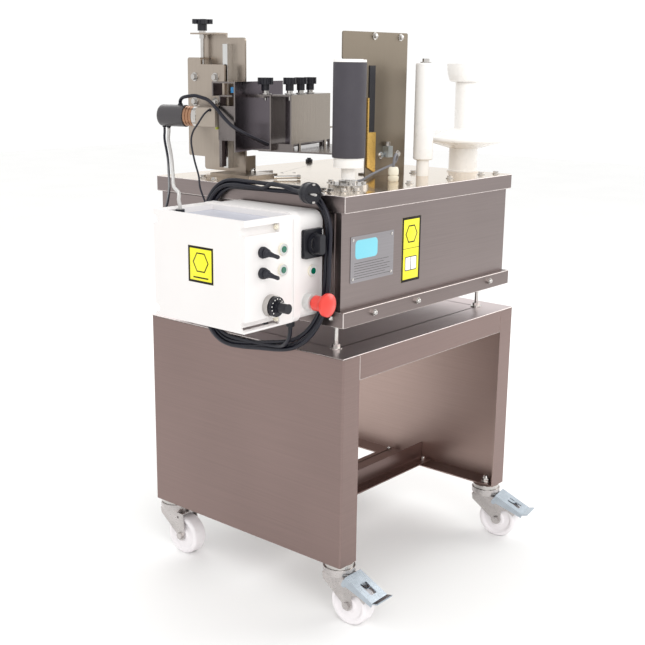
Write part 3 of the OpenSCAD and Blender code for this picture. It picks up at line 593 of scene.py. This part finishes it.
# Points along each whole turn, the share of a turn after which it slides over to the next one,
# and the share of the outline that the last, part turn covers
TURN_POINTS = 44
SLIDE_FROM = 0.86
LAST_TURN = 0.47
CORD_EXIT = (-312, -150, 561.8)
PLUG_AT = (-309.5, -200.0, 801.7)
PLUG_TURN = math.radians(-10)
PLUG_AXIS = Vector((math.sin(PLUG_TURN), -math.cos(PLUG_TURN), 0))
# Corners of the coil's inner outline: middle (Y, Z), radius, first angle in degrees
COIL_CORNERS = (
    ((15, 569), 56, -90),
    ((15, 733), 56, 0),
    ((-150, 733), 56, 90),
    ((-74, 645), 132, 180),
)


def coil_outline(grow):
    """One turn round the box, from the bottom towards the back, up, forward and down."""
    steps = 10
    out = []
    for (y, z), radius, start in COIL_CORNERS:
        for i in range(steps + 1):
            angle = math.radians(start + 90 * i / steps)
            r = radius + grow
            out.append((y + r * math.cos(angle), z + r * math.sin(angle)))
    return out


def resample(line, n):
    """n points evenly along a closed outline, from the back end of its bottom run."""
    line = line + [line[0]]
    lengths = [math.dist(a, b) for a, b in zip(line, line[1:])]
    total = sum(lengths)
    out = []
    for k in range(n):
        left = total * k / n
        i = 0
        while left > lengths[i]:
            left -= lengths[i]
            i += 1
        t = left / lengths[i]
        a, b = line[i], line[i + 1]
        out.append((a[0] + (b[0] - a[0]) * t, a[1] + (b[1] - a[1]) * t))
    return out


def wave(t, middle, width):
    """A smooth hump of height one."""
    return math.exp(-(((t - middle) / width) ** 2))


def raised(y, z):
    """How far the turns hang short of the outline below the front of the box."""
    if z > 600:
        return 0.0
    return 9.0 * wave(y, -90, 60) * min(1.0, (600 - z) / 40)


def coil_point(grow, side, i):
    """Point i of a turn, grown outwards and offset sideways from the outline."""
    y, z = resample(coil_outline(grow), TURN_POINTS)[i]
    z += raised(y, z)
    return (COIL_X + (z - 500) * COIL_TILT + side, y, z)


def coil_points():
    """Three and a half loose turns: radial growth and sideways offset change slowly along each."""
    points = []
    turns = (
        lambda t: (3.8 + 2.5 * wave(t, 0.47, 0.07), 2.5 * wave(t, 0.47, 0.1)),
        lambda t: (11.6 - 5.0 * wave(t, 0.45, 0.06), -5.5 * wave(t, 0.45, 0.09)),
        lambda t: (17.4 - 3.0 * wave(t, 0.6, 0.1), -4.8),
    )
    for k, shape in enumerate(turns):
        following = turns[min(k + 1, len(turns) - 1)]
        for i in range(TURN_POINTS):
            t = i / TURN_POINTS
            grow, side = shape(t)
            # Each turn slides over to the next one from the lower front corner on
            move = max(0.0, (t - SLIDE_FROM) / (1 - SLIDE_FROM))
            ease = move * move * (3 - 2 * move)
            grow += (following(t)[0] - grow) * ease
            side += (following(0.0)[1] - side) * ease
            points.append(coil_point(grow, side, i))
    for i in range(int(TURN_POINTS * LAST_TURN)):
        ease = min(1.0, i / 6)
        points.append(coil_point(17.4 - 8.6 * ease, -4.8 - 3.6 * ease, i))
    return points


def cord_route():
    """From the gland under the box, along the bottom, round the coil and to the plug."""
    start = [CORD_EXIT, (-312, -149.8, 551), (-311, -146, 538), (-307, -134, 525)]
    joined = [(-300.5, -116, 516.5), (-297, -86, 511.5), (-295, -50, 509.8), (-294.4, -16, 509.3)]
    tail = Vector(PLUG_AT) - PLUG_AXIS * 40
    end = [
        (-294.5, -88, 808),
        (-297.5, -108, 808.5),
        (-300.2, -128, 806),
        tuple(tail - PLUG_AXIS * 18 + Vector((0, 0, 1.0))),
        tuple(tail - PLUG_AXIS * 8),
        tuple(tail),
    ]
    return start + joined + coil_points() + end


def make_cord():
    line = smooth_line(cord_route(), step=6)
    curve = bpy.data.curves.new("mains_cord", "CURVE")
    curve.dimensions = "3D"
    curve.bevel_depth = CORD_D / 2 * MM
    curve.bevel_resolution = 5
    curve.use_fill_caps = True
    spline = curve.splines.new("POLY")
    spline.points.add(len(line) - 1)
    for point, p in zip(spline.points, line):
        point.co = (*at(*p), 1)
    spline.use_smooth = True
    curve.materials.append(CORD)
    cord = new_object("mains_cord", curve)
    length = sum((b - a).length for a, b in zip(line, line[1:])) * MM
    return cord, length


def make_plug():
    """Earthed plug: waisted body with a rim, strain relief, two pins and two earth contacts."""
    face = at(*PLUG_AT)
    body = lathe(
        "plug_body",
        [
            (0, -40), (4.6, -40), (5.4, -36), (6.0, -30), (7.4, -28), (11, -24.5), (15.5, -21.5),
            (17.6, -19), (18.3, -16), (18.5, -13), (17.7, -12), (17.7, -9.5), (18.5, -8.5),
            (18.5, -1.2), (17.6, 0), (14.8, 0), (14.2, -0.9), (0, -0.9),
        ],
        face, PLUG_AXIS, BLACK, sides=56,
    )
    side = Vector(UP).cross(PLUG_AXIS).normalized()
    bm = bmesh.new()
    for sign in (-1, 1):
        add_lathe(
            bm,
            [(0, -1.5), (2.35, -1.5), (2.4, 0), (2.4, 16.5), (1.9, 18.4), (0, 19)],
            face + side * sign * 9.5 * MM, PLUG_AXIS, sides=20,
        )
    pins = finish_mesh("plug_pins", bm, BRIGHT)
    bm = bmesh.new()
    for sign in (-1, 1):
        place = facing(face + Vector((0, 0, sign * 15.2 * MM)), side, PLUG_AXIS)
        place = place @ Matrix.Translation((0, 0, -3 * MM))
        add_prism(bm, round_pad(6.2, 3.4, 0.8), place, 3.6, bevel=0.5)
    contacts = finish_mesh("plug_contacts", bm, BRIGHT)
    settle(body, "frame")
    settle(pins, "frame")
    settle(contacts, "frame")
    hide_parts("mains_plug")
    return [body, pins, contacts]


cord, cord_length = make_cord()
settle(cord, "frame")
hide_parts("mains_coil", "mains_tube")
make_plug()


# ---------- leads of the head ----------
GREY_ROUTE = [
    (-231.2, 250.6, 887.2), (-231.2, 250.6, 880), (-237, 246, 864), (-252, 222, 836),
    (-304, 160, 808), (-370, 85, 796), (-426, 10, 795), (-447, -13, 786), (-449, -18, 777),
    (-449, -18, 771.4),
]
BLACK_ROUTE = [
    (-234, 260.2, 887.2), (-234, 260.2, 880), (-240, 254, 864), (-256, 228, 832),
    (-309, 166, 803), (-372, 96, 784), (-412, 60, 762), (-436, 48, 744), (-440, 40, 740),
    (-440, 33.4, 740),
]
THIN_ROUTE = [
    (-222.2, 142.9, 926), (-226.5, 141.7, 925.5), (-237, 143, 918), (-248, 147, 902),
    (-262, 148, 885), (-272, 142, 866), (-287, 118, 836), (-301, 92, 809), (-316, 72, 788),
    (-322, 48, 757), (-322, 39, 750), (-322, 33.4, 750),
]
HEAD_ROUTE = [
    (-223.5, 223.7, 936.4), (-223.5, 223.7, 941), (-229, 212, 947), (-231, 199, 950),
    (-222, 184, 952), (-218, 169, 949), (-214, 154, 944), (-217, 131, 931), (-216, 109, 912),
    (-212, 90, 897), (-199, 75, 885), (-180, 66, 875), (-160, 63, 867), (-145, 61, 861),
]
SENSOR_ROUTE = [
    (-104, -118, 799.7), (-94, -122, 800.2), (-82, -127, 802.5), (-61, -133, 812),
    (-20, -132, 821), (3, -132, 825.5), (13, -134, 833), (11, -138, 843), (0, -143, 847),
    (-11, -147.5, 841), (-15, -149, 830), (-15, -149, 824),
]


def lead(name, route, diameter, surface):
    line = [at(*p) for p in smooth_line(route, step=3)]
    piece = tube(name, line, diameter * MM, surface)
    length = sum((b - a).length for a, b in zip(line, line[1:]))
    return piece, line, length


def make_head_leads():
    for name, route, diameter, surface, slot in (
        ("grey_lead", GREY_ROUTE, 6.5, GREY_CORD, "grey_cable"),
        ("black_lead", BLACK_ROUTE, 5.0, CORD, "black_cable"),
        ("thin_lead", THIN_ROUTE, 3.6, CORD, "black_cable"),
    ):
        piece, line, length = lead(name, route, diameter, surface)
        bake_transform(piece)
    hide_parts("head_leads")
    piece, line, length = lead("head_lead", HEAD_ROUTE, 7.0, CORD)
    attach(piece, "head")
    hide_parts("head_cable")


def make_sensor_lead():
    piece, line, length = lead("sensor_lead", SENSOR_ROUTE, 5.0, SENSOR_CORD)
    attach(piece, "frame")
    gland = lathe(
        "sensor_gland",
        [
            (2.6, 27.2), (7.2, 27.2), (9.0, 25.5), (10.2, 21), (10.2, 12.5), (8.6, 12),
            (8.6, 9.5), (10.4, 9), (10.4, 2.2), (10.0, 1.6), (9.4, 0), (2.6, 0),
        ],
        at(*SENSOR_GLAND_AT, LID_TOP_Z), UP, IVORY, sides=18,
    )
    settle(gland, "frame")
    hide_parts("sensor_cable")


paint_nodes()
make_head_leads()
make_sensor_lead()


# ---------- print unit ----------
def head_axis(a, b):
    return (at_head(a, b, 0) - at_head(0, 0, 0)).normalized()


def make_print_unit():
    """Block on the carriage, bright ring with screws, copper rings, round body and its glands."""
    along, across = head_axis(1, 0), head_axis(0, 1)
    bm = bmesh.new()
    place = facing(at_head(18, 63.3, 894), along, UP)
    add_prism(bm, bar(36, 43), place, 36, bevel=1.2)
    settle(finish_mesh("unit_block", bm, CREAM), "head")
    start = at_head(18, 84.8, 912)
    bm = bmesh.new()
    add_lathe(bm, [(0, 0), (19.2, 0), (20, 0.8), (20, 10.2), (19.4, 11), (0, 11)], start, across)
    screw = [(0, 18.5), (2.2, 18.5), (2.2, 20.4), (1.2, 20.6), (0, 20.6)]
    for k in range(6):
        angle = math.pi / 3 * k + 0.3
        outwards = along * math.cos(angle) + Vector(UP) * math.sin(angle)
        add_lathe(bm, screw, start + across * 5.5 * MM, outwards, sides=16)
    settle(finish_mesh("unit_ring", bm, BRIGHT), "head")
    rings = [(0, 11)]
    for k in range(3):
        base = 11 + k * 6.7
        rings += [(18.2, base), (19.4, base + 0.7), (19.5, base + 3)]
        rings += [(19.4, base + 5.6), (18.2, base + 6.3)]
    rings.append((0, 31))
    settle(lathe("unit_copper", rings, start, across, COPPER, sides=56), "head")
    outline = [
        (0, 31), (20.6, 31), (21.4, 31.8), (21.4, 84), (20.9, 86.8), (19.2, 88.9), (16.4, 90), (0, 90),
    ]
    body = lathe("unit_body", outline, start, across, UNIT, sides=64)
    settle(body, "head")
    bm = bmesh.new()
    # Two glands hang under the body, one stands on it, and one is in the side of the block
    for b, radius in ((158, 4.5), (168, 4.0)):
        gland = [(0, 888), (radius * 0.8, 888), (radius, 889.2), (radius, 897), (0, 897)]
        add_lathe(bm, gland, at_head(18, b, 0), UP, sides=24)
    gland = [(0, 928), (5, 928), (5, 934.8), (4, 936), (0, 936)]
    add_lathe(bm, gland, at_head(18, 130, 0), UP, sides=24)
    gland = [(0, -1.5), (2.5, -1.5), (3, -1), (3, 1.5), (0, 1.5)]
    add_lathe(bm, gland, at_head(0, 52, 926), along, sides=20)
    settle(finish_mesh("unit_glands", bm, BLACK), "head")
    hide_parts("print_unit")


make_print_unit()


# ---------- labels and plates ----------
def sticker(name, centre, x_axis, normal, layers):
    """A label of thin layers: each is (outline, lift, thickness, surface, place on the label)."""
    for k, (outline, lift, thickness, surface, (dx, dy)) in enumerate(layers):
        bm = bmesh.new()
        place = facing(centre, x_axis, normal) @ Matrix.Translation((dx * MM, dy * MM, lift * MM))
        add_prism(bm, outline, place, thickness, bevel=min(0.08, thickness / 3))
        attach(finish_mesh(f"{name}_{k}", bm, surface), "frame")


def ring_pieces(outer, inner):
    """The four sides of an open rectangular border."""
    w, h = outer
    iw, ih = inner
    return (
        (bar(w, (h - ih) / 2), (0, (h + ih) / 4)),
        (bar(w, (h - ih) / 2), (0, -(h + ih) / 4)),
        (bar((w - iw) / 2, ih), ((w + iw) / 4, 0)),
        (bar((w - iw) / 2, ih), (-(w + iw) / 4, 0)),
    )


def make_front_label():
    """Tall yellow label on the cabinet: border, dividing line and two plain shapes."""
    layers = [(round_pad(58.4, 122.5, 1.5), 0.0, 0.25, YELLOW, (0, 0))]
    layers += [(o, 0.25, 0.1, INK, d) for o, d in ring_pieces((58.4, 122.5), (49.0, 113.0))]
    layers.append((bar(50, 0.9), 0.25, 0.1, INK, (0, 2)))
    layers.append((hexagon(19), 0.25, 0.1, INK, (0, 29)))
    layers.append((hexagon(16.2), 0.35, 0.08, YELLOW, (0, 29)))
    layers.append((round_pad(37, 27, 3), 0.25, 0.1, INK, (0, -27)))
    layers.append((round_pad(34, 24, 2), 0.35, 0.08, WHITE, (0, -27)))
    layers.append((bar(1.6, 24), 0.43, 0.06, INK, (0, -27)))
    sticker("front_label", at(-62.7, CABINET_FRONT_Y, 679.5), (1, 0, 0), FORWARD, layers)


def make_box_label():
    """Square yellow label on the side of the control box: border, hexagon and bar."""
    layers = [(round_pad(60, 62, 1.5), 0.0, 0.25, YELLOW, (0, 0))]
    layers += [(o, 0.25, 0.1, INK, d) for o, d in ring_pieces((60, 62), (52, 54))]
    layers.append((hexagon(19), 0.25, 0.1, INK, (0, 4)))
    layers.append((hexagon(16.6), 0.35, 0.08, YELLOW, (0, 4)))
    layers.append((bar(36, 2.4), 0.25, 0.1, INK, (0, -22)))
    sticker("box_label", at(BOX_LEFT_X, -94, 687), (0, -1, 0), (-1, 0, 0), layers)


def make_data_plate():
    """A plain printed panel and seven rules on the data plate, and the plate's four rivets."""
    plate_y = CABINET_FRONT_Y - 1.0
    layers = [(round_pad(64, 34, 8), 0.0, 0.08, PALE_BLUE, (-18, 17))]
    longest = 104
    for k, width in enumerate((100, 86, longest, 96, longest, 90, longest)):
        layers.append((bar(width, 0.6), 0.0, 0.06, INK, ((width - longest) / 2, -7 - 4.6 * k)))
    sticker("data_plate", at(-181.7, plate_y, 681), (1, 0, 0), FORWARD, layers)
    rivet = [(0, 0), (2.8, 0), (2.7, 0.7), (1.7, 1.5), (0, 1.8)]
    bm = bmesh.new()
    for x in (-238, -125.5):
        for z in (646, 716):
            add_lathe(bm, rivet, at(x, plate_y, z), FORWARD, sides=20)
    settle(finish_mesh("plate_rivets", bm, BRIGHT), "frame")


make_front_label()
make_box_label()
make_data_plate()


# ---------- small parts ----------
def make_plate_bolts():
    """Two bolts with washers near the top of the label plate."""
    washer = [(0, -3.5), (3, -3.5), (3, 0), (7.2, 0), (7.2, 1.2), (0, 1.2)]
    bm = bmesh.new()
    for x, z in ((23.4, 1069), (108, 1068)):
        centre = at(x, PLATE_Y, z)
        add_lathe(bm, washer, centre, FORWARD, sides=28)
        place = facing(centre + FORWARD * 1.2 * MM, (1, 0, 0), FORWARD)
        add_prism(bm, hexagon(5), place, 4, bevel=0.5)
    settle(finish_mesh("plate_bolts", bm, BRIGHT), "frame")


def make_lamp_rims():
    """Rims of the three lamps."""
    rim = [(8.2, 3.2), (9.6, 3.2), (9.9, 3.8), (9.6, 4.7), (8.7, 5.0), (8.2, 4.2)]
    bm = bmesh.new()
    for x, z in ((-385, 715.5), (-386, 680.5), (-310, 668.5)):
        add_lathe(bm, rim, at(x, BOX_FRONT_Y, z), FORWARD, sides=36)
    settle(finish_mesh("lamp_rims", bm, GREY_PLASTIC), "frame")


def make_lid_fittings():
    """A bar and a stud lying on the lid beside the column, and a plug near its back edge."""
    bm = bmesh.new()
    place = facing(at(-88, 126.5, LID_TOP_Z), (40, -11, 0), UP)
    add_prism(bm, round_pad(42, 9, 2), place, 5, bevel=0.6)
    settle(finish_mesh("lid_bar", bm, ZINC), "frame")
    stud = [
        (0, 0), (3.6, 0), (4, 0.5), (4, 6), (3, 6.5), (3, 46), (4.2, 46.4), (4.2, 52), (3.4, 53), (0, 53),
    ]
    place = at(-169, 23, LID_TOP_Z + 5)
    settle(lathe("lid_stud", stud, place, (45, -31, 0), BRIGHT, sides=24), "frame")
    plug = [(0, 0), (7.5, 0), (8, 0.6), (8, 5), (7.2, 6), (5, 6.4), (4.6, 9), (0, 9.4)]
    place = at(168, 226, LID_TOP_Z)
    settle(lathe("lid_plug", plug, place, UP, BLACK, sides=30), "frame")


def make_cover_fittings():
    """Floor of the control box's lower front channel, and a screw at the end of each channel."""
    bm = bmesh.new()
    place = facing(at(-431, -188.6, 586.4), (1, 0, 0), UP)
    add_prism(bm, round_pad(79, 9.2, 1), place, 1.7, bevel=0.3)
    settle(finish_mesh("channel_floor", bm, BOX), "frame")
    screw = [(0, -1), (4.6, -1), (4.8, 1.5), (4.0, 3), (1.2, 3.3), (1.0, 2.2), (0, 2.2)]
    bm = bmesh.new()
    for z in (596, 753):
        add_lathe(bm, screw, at(-392.5, -190.5, z), (-1, 0, 0), sides=24)
    settle(finish_mesh("cover_screws", bm, IVORY), "frame")


def head_prism(name, outline, place, height, bevel, surface):
    """A raised outline lined up with the turned head; place is (along, across, height)."""
    bm = bmesh.new()
    add_prism(bm, outline, facing(at_head(*place), head_axis(1, 0), UP), height, bevel)
    piece = finish_mesh(name, bm, surface)
    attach(piece, "head")
    return piece


def make_head_fittings():
    """Dark web behind the outer bracket, its darkness a painted reflection, and a blue air fitting and a
    lime strip in the head.
    """
    web = head_prism("inner_web", round_pad(43, 2.6, 0.8), (131, -54.5, 850), 101, 0.5, WEB_PAINTED_DARK_REFLECTION)
    head_prism("head_fitting", round_pad(15, 17, 3), (27, 10, 959), 11, 1.2, BLUE)
    head_prism("head_strip", round_pad(30, 2.4, 0.6), (17, 41.2, 889), 4.5, 0.4, LIME)


make_plate_bolts()
make_lamp_rims()
make_lid_fittings()
make_cover_fittings()
make_head_fittings()


# ---------- controls ----------
def make_toggle_collars():
    """Ribbed rubber collars of the two toggles."""
    collar = [
        (7.9, 2.5), (9.6, 2.5), (9.9, 3.4), (9.6, 4.6), (9.0, 5.2), (9.3, 6.2), (8.9, 7.4), (7.9, 7.6),
    ]
    bm = bmesh.new()
    for x, _, z in TOGGLES:
        add_lathe(bm, collar, at(x, BOX_FRONT_Y, z), FORWARD, sides=40)
    settle(finish_mesh("toggle_collars", bm, BOOT), "frame")


def make_speed_marks():
    """Plain dots round the speed knob's skirt, and the pointer line along its grip."""
    radius = 13.6
    dot = [(0, 0), (1.15, 0), (1.0, 0.25), (0, 0.3)]
    bm = bmesh.new()
    for k in range(11):
        angle = math.radians(-135 + 27 * k)
        x = KNOB_X + radius * math.sin(angle)
        z = KNOB_Z + radius * math.cos(angle)
        add_lathe(bm, dot, at(x, BOX_FRONT_Y - 17.3, z), FORWARD, sides=14)
    place = facing(at(KNOB_X, BOX_FRONT_Y - 29.5, KNOB_Z + 8.3), (1, 0, 0), UP)
    add_prism(bm, bar(1.6, 23), place, 0.5, bevel=0.15)
    settle(finish_mesh("speed_marks", bm, WHITE), "speed_knob")


def make_switch_painted_highlight():
    """Painted highlight: a bright crescent beside the main switch's grip."""
    steps = 12
    angles = [math.radians(118 + 124 * k / steps) for k in range(steps + 1)]
    crescent = [(13.2 * math.cos(angle), 13.2 * math.sin(angle)) for angle in angles]
    crescent += [(10.4 * math.cos(a) - 0.2, 12.2 * math.sin(a)) for a in reversed(angles)]
    bm = bmesh.new()
    place = facing(at(SWITCH_X, BOX_FRONT_Y - 12, SWITCH_Z), (1, 0, 0), FORWARD)
    add_prism(bm, crescent, place, 0.5)
    settle(finish_mesh("switch_painted_highlight", bm, BRIGHT), "switch_grip")


def make_switch_marks():
    """Three plain white marks on the main switch's plate."""
    bm = bmesh.new()
    for z, height in ((735, 9), (719, 6), (711, 2.6)):
        place = facing(at(-290.6, BOX_FRONT_Y - 8, z), (1, 0, 0), FORWARD)
        add_prism(bm, bar(2.0, height), place, 0.2)
    settle(finish_mesh("switch_marks", bm, WHITE), "frame")


make_toggle_collars()
make_speed_marks()
make_switch_painted_highlight()
make_switch_marks()


# ---------- room, light and floor ----------
def make_stage():
    """A wide, plain, pale floor."""
    bm = bmesh.new()
    bmesh.ops.create_grid(bm, x_segments=8, y_segments=8, size=9)
    s = Surface("floor", (0.96, 0.96, 0.955), roughness=0.75)
    s.tint(s.noise(2.0, detail=2), 0.99, 1.01)
    floor = finish_mesh("floor", bm, s.material, smooth=False)


def area_light(name, place, target, size, power, colour=(1, 1, 1)):
    """A rectangular lamp of a given width and height in metres, turned towards a point."""
    data = bpy.data.lights.new(name, "AREA")
    data.shape = "RECTANGLE"
    data.size, data.size_y = size
    data.energy = power
    data.color = colour
    light = bpy.data.objects.new(name, data)
    bpy.context.scene.collection.objects.link(light)
    light.location = place
    light.rotation_mode = "QUATERNION"
    light.rotation_quaternion = (Vector(target) - Vector(place)).to_track_quat("-Z", "Y")


def make_light():
    """Pale surroundings with a key lamp, a side lamp and a back lamp."""
    world = bpy.data.worlds.new("studio")
    bpy.context.scene.world = world
    world.use_nodes = True
    background = world.node_tree.nodes["Background"]
    background.inputs["Color"].default_value = (1.0, 1.0, 0.995, 1)
    background.inputs["Strength"].default_value = 1.03
    middle = (0.0, 0.0, 0.6)
    area_light("key", (-2.2, -2.6, 2.6), middle, (2.4, 1.8), 42)
    area_light("side", (2.8, -1.6, 2.2), middle, (2.2, 2.2), 30, (1.0, 0.98, 0.95))
    area_light("back", (1.2, 2.8, 2.6), middle, (2.4, 1.6), 24)
    bpy.context.scene.view_settings.view_transform = "Standard"


make_stage()
make_light()
